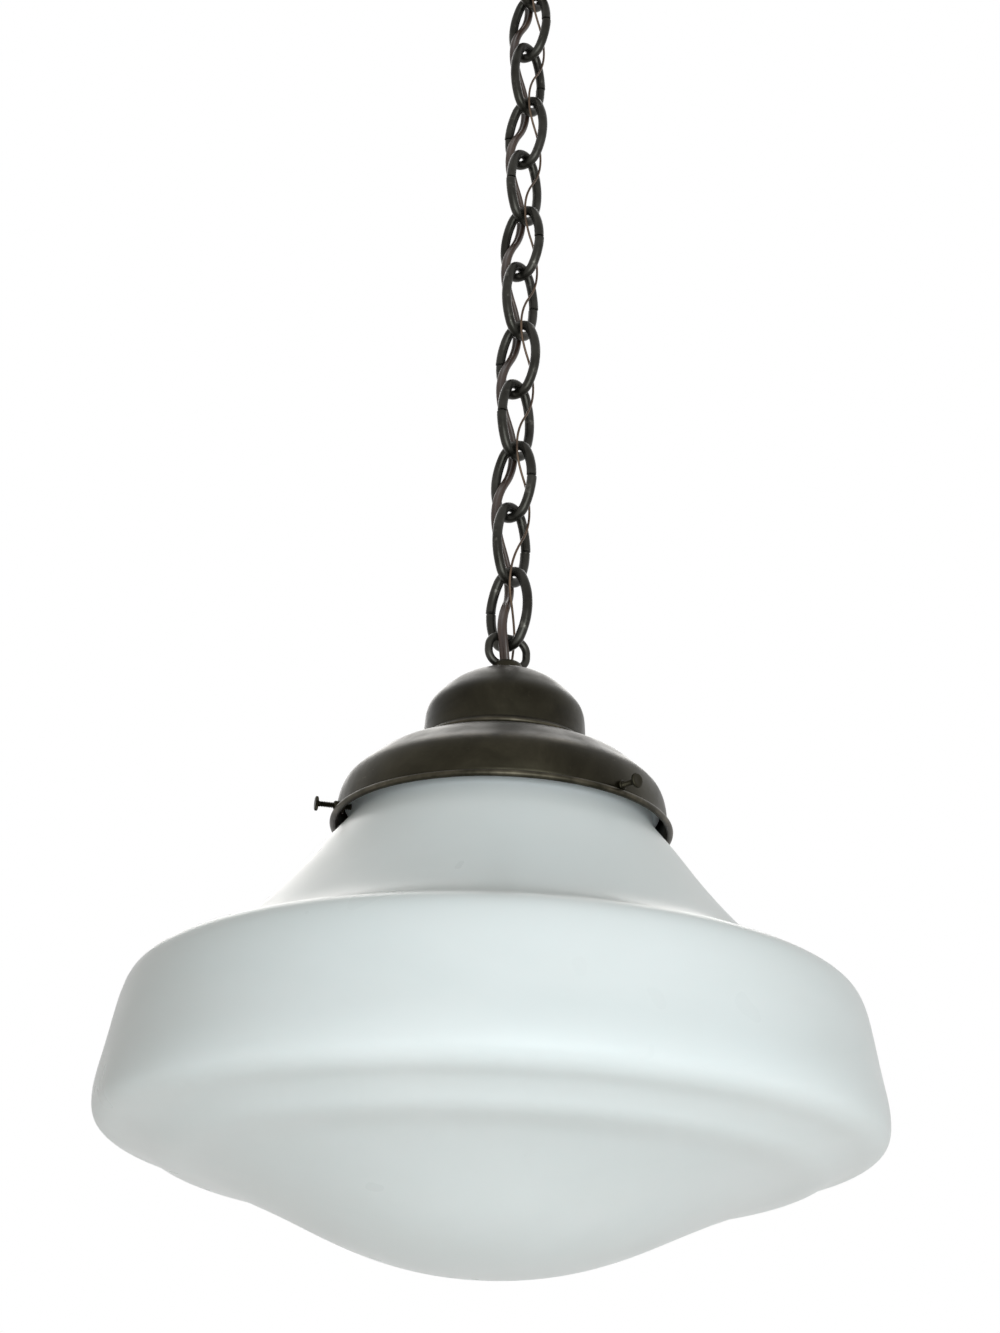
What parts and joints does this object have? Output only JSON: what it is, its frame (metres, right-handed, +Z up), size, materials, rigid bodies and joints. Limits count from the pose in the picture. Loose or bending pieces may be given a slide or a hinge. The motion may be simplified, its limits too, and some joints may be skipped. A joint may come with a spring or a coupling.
{
  "type": "pendant light",
  "caption": "Schoolhouse pendant: stepped opal glass shade under a domed bronze pan, hung on an oval-link chain with a cord woven through it from a round ceiling canopy.",
  "frame": {"origin": "middle of the ceiling plane, centred between the two box screws", "axes": "+Z up along the hanging axis, -Y towards the picture's view"},
  "size_m": [0.356, 0.356, 0.8242],
  "materials": {
    "bronze_metal": "satin",
    "bronze_wire": "satin",
    "opal_glass": "gloss",
    "porcelain": "gloss",
    "brass": "satin",
    "zinc_steel": "satin",
    "cord_brown": "satin",
    "copper_wire": "satin",
    "green_screw": "gloss",
    "connector": "matte",
    "insulation": "satin"
  },
  "bodies": {
    "ceiling_mount": {"mounting_strap": "zinc_steel", "strap_screws": "zinc_steel", "ground_screw": "green_screw", "canopy_nipple": "zinc_steel", "nipple_locknuts": "zinc_steel", "canopy": "bronze_metal", "collar_ring": "bronze_metal", "canopy_loop": "bronze_metal", "supply_leads": "insulation", "wire_nuts": "connector", "lamp_cord": "cord_brown", "ground_wire": "copper_wire"},
    "link_01": {"link_01": "bronze_wire"},
    "link_02": {"link_02": "bronze_wire"},
    "link_03": {"link_03": "bronze_wire"},
    "link_04": {"link_04": "bronze_wire"},
    "link_05": {"link_05": "bronze_wire"},
    "link_06": {"link_06": "bronze_wire"},
    "link_07": {"link_07": "bronze_wire"},
    "link_08": {"link_08": "bronze_wire"},
    "link_09": {"link_09": "bronze_wire"},
    "link_10": {"link_10": "bronze_wire"},
    "link_11": {"link_11": "bronze_wire"},
    "link_12": {"link_12": "bronze_wire"},
    "lamp": {"top_loop": "bronze_wire", "dome_cap": "bronze_metal", "shade_holder": "bronze_metal", "screw_bosses": "bronze_metal", "lamp_nipple": "zinc_steel", "lock_washer": "zinc_steel", "lamp_locknut": "zinc_steel", "cord_bushing": "insulation", "socket_cap": "brass", "cap_set_screw": "zinc_steel", "cap_ground_screw": "green_screw", "socket_body": "porcelain", "socket_screws": "zinc_steel", "terminal_screws": "brass", "socket_leads": "insulation", "screw_shell": "brass", "centre_contact": "brass", "glass_shade": "opal_glass"},
    "shade_screw_1": {"shade_screw_1": "bronze_metal"},
    "shade_screw_2": {"shade_screw_2": "bronze_metal"},
    "shade_screw_3": {"shade_screw_3": "bronze_metal"}
  },
  "joints": [
    {"name": "link_01_swing", "type": "hinge", "parent": "ceiling_mount", "child": "link_01", "pos_m": [0, 0, -0.054], "axis": [-0.7815, 0.6239, 0], "range_deg": [-12, 12], "deforming": ["lamp_cord", "ground_wire"]},
    {"name": "link_02_swing", "type": "hinge", "parent": "link_01", "child": "link_02", "pos_m": [0, 0, -0.0899], "axis": [-0.6239, -0.7815, 0], "range_deg": [-12, 12], "deforming": ["lamp_cord", "ground_wire"]},
    {"name": "link_03_swing", "type": "hinge", "parent": "link_02", "child": "link_03", "pos_m": [0, 0, -0.1256], "axis": [-0.7815, 0.6239, 0], "range_deg": [-12, 12], "deforming": ["lamp_cord", "ground_wire"]},
    {"name": "link_04_swing", "type": "hinge", "parent": "link_03", "child": "link_04", "pos_m": [0, 0, -0.1613], "axis": [-0.6239, -0.7815, 0], "range_deg": [-12, 12], "deforming": ["lamp_cord", "ground_wire"]},
    {"name": "link_05_swing", "type": "hinge", "parent": "link_04", "child": "link_05", "pos_m": [0, 0, -0.197], "axis": [-0.7815, 0.6239, 0], "range_deg": [-12, 12], "deforming": ["lamp_cord", "ground_wire"]},
    {"name": "link_06_swing", "type": "hinge", "parent": "link_05", "child": "link_06", "pos_m": [0, 0, -0.2327], "axis": [-0.6239, -0.7815, 0], "range_deg": [-12, 12], "deforming": ["lamp_cord", "ground_wire"]},
    {"name": "link_07_swing", "type": "hinge", "parent": "link_06", "child": "link_07", "pos_m": [0, 0, -0.2684], "axis": [-0.7815, 0.6239, 0], "range_deg": [-12, 12], "deforming": ["lamp_cord", "ground_wire"]},
    {"name": "link_08_swing", "type": "hinge", "parent": "link_07", "child": "link_08", "pos_m": [0, 0, -0.3041], "axis": [-0.6239, -0.7815, 0], "range_deg": [-12, 12], "deforming": ["lamp_cord", "ground_wire"]},
    {"name": "link_09_swing", "type": "hinge", "parent": "link_08", "child": "link_09", "pos_m": [0, 0, -0.3398], "axis": [-0.7815, 0.6239, 0], "range_deg": [-12, 12], "deforming": ["lamp_cord", "ground_wire"]},
    {"name": "link_10_swing", "type": "hinge", "parent": "link_09", "child": "link_10", "pos_m": [0, 0, -0.3755], "axis": [-0.6239, -0.7815, 0], "range_deg": [-12, 12], "deforming": ["lamp_cord", "ground_wire"]},
    {"name": "link_11_swing", "type": "hinge", "parent": "link_10", "child": "link_11", "pos_m": [0, 0, -0.4112], "axis": [-0.7815, 0.6239, 0], "range_deg": [-12, 12], "deforming": ["lamp_cord", "ground_wire"]},
    {"name": "link_12_swing", "type": "hinge", "parent": "link_11", "child": "link_12", "pos_m": [0, 0, -0.4469], "axis": [-0.6239, -0.7815, 0], "range_deg": [-12, 12], "deforming": ["lamp_cord", "ground_wire"]},
    {"name": "lamp_swing", "type": "hinge", "parent": "link_12", "child": "lamp", "pos_m": [0, 0, -0.4826], "axis": [-0.7815, 0.6239, 0], "range_deg": [-35, 35], "deforming": ["lamp_cord", "ground_wire"]},
    {"name": "shade_screw_1_turn_out", "type": "slide", "parent": "lamp", "child": "shade_screw_1", "axis": [0.6756, -0.7373, 0], "range_m": [0, 0.006]},
    {"name": "shade_screw_2_turn_out", "type": "slide", "parent": "lamp", "child": "shade_screw_2", "axis": [0.3007, 0.9537, 0], "range_m": [0, 0.006]},
    {"name": "shade_screw_3_turn_out", "type": "slide", "parent": "lamp", "child": "shade_screw_3", "axis": [-0.9763, -0.2164, 0], "range_m": [0, 0.006]}
  ]
}
